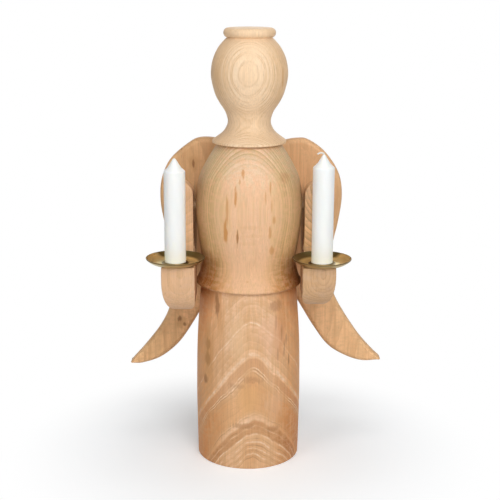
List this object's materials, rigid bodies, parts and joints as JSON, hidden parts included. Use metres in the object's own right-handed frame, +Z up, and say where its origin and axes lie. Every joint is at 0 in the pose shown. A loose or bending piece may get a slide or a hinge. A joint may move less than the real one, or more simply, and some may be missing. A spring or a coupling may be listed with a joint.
{
  "type": "angel candle holder",
  "caption": "Standing wooden angel figure, turned and sawn, with forearms that carry brass drip pans and candles; it rests on a flat round base.",
  "frame": {"origin": "middle of the round base, on the surface that it stands on", "axes": "+Z up; the figure faces -Y with its forearms forward; +X to the right of someone who looks at its front"},
  "size_m": [0.2842, 0.1372, 0.4633],
  "materials": {
    "skirt_wood": "turned and sanded, open grain, unvarnished",
    "bodice_wood": "turned and sanded, open grain, unvarnished",
    "head_wood": "turned and sanded, ring grain, unvarnished",
    "arm_wood": "sawn and sanded, straight grain",
    "wing_wood": "sawn and sanded, straight grain",
    "dowel_wood": "plain dowel",
    "pan_brass": "pressed sheet, lightly tarnished",
    "candle_wax": "white wax, satin",
    "wick_cotton": "waxed cotton braid",
    "screw_steel": "zinc plated"
  },
  "bodies": {
    "root": {"skirt": "skirt_wood", "bodice": "bodice_wood", "head": "head_wood", "arm_left": "arm_wood", "arm_right": "arm_wood", "wing_left": "wing_wood", "wing_right": "wing_wood", "drip_pan_left": "pan_brass", "drip_pan_right": "pan_brass", "candle_left": "candle_wax", "candle_right": "candle_wax", "wick_left": "wick_cotton", "wick_right": "wick_cotton", "body_dowel": "dowel_wood", "neck_dowel": "dowel_wood", "shoulder_dowel_left": "dowel_wood", "shoulder_dowel_right": "dowel_wood", "wing_screw_left_upper": "screw_steel", "wing_screw_left_lower": "screw_steel", "wing_screw_right_upper": "screw_steel", "wing_screw_right_lower": "screw_steel"}
  },
  "joints": []
}
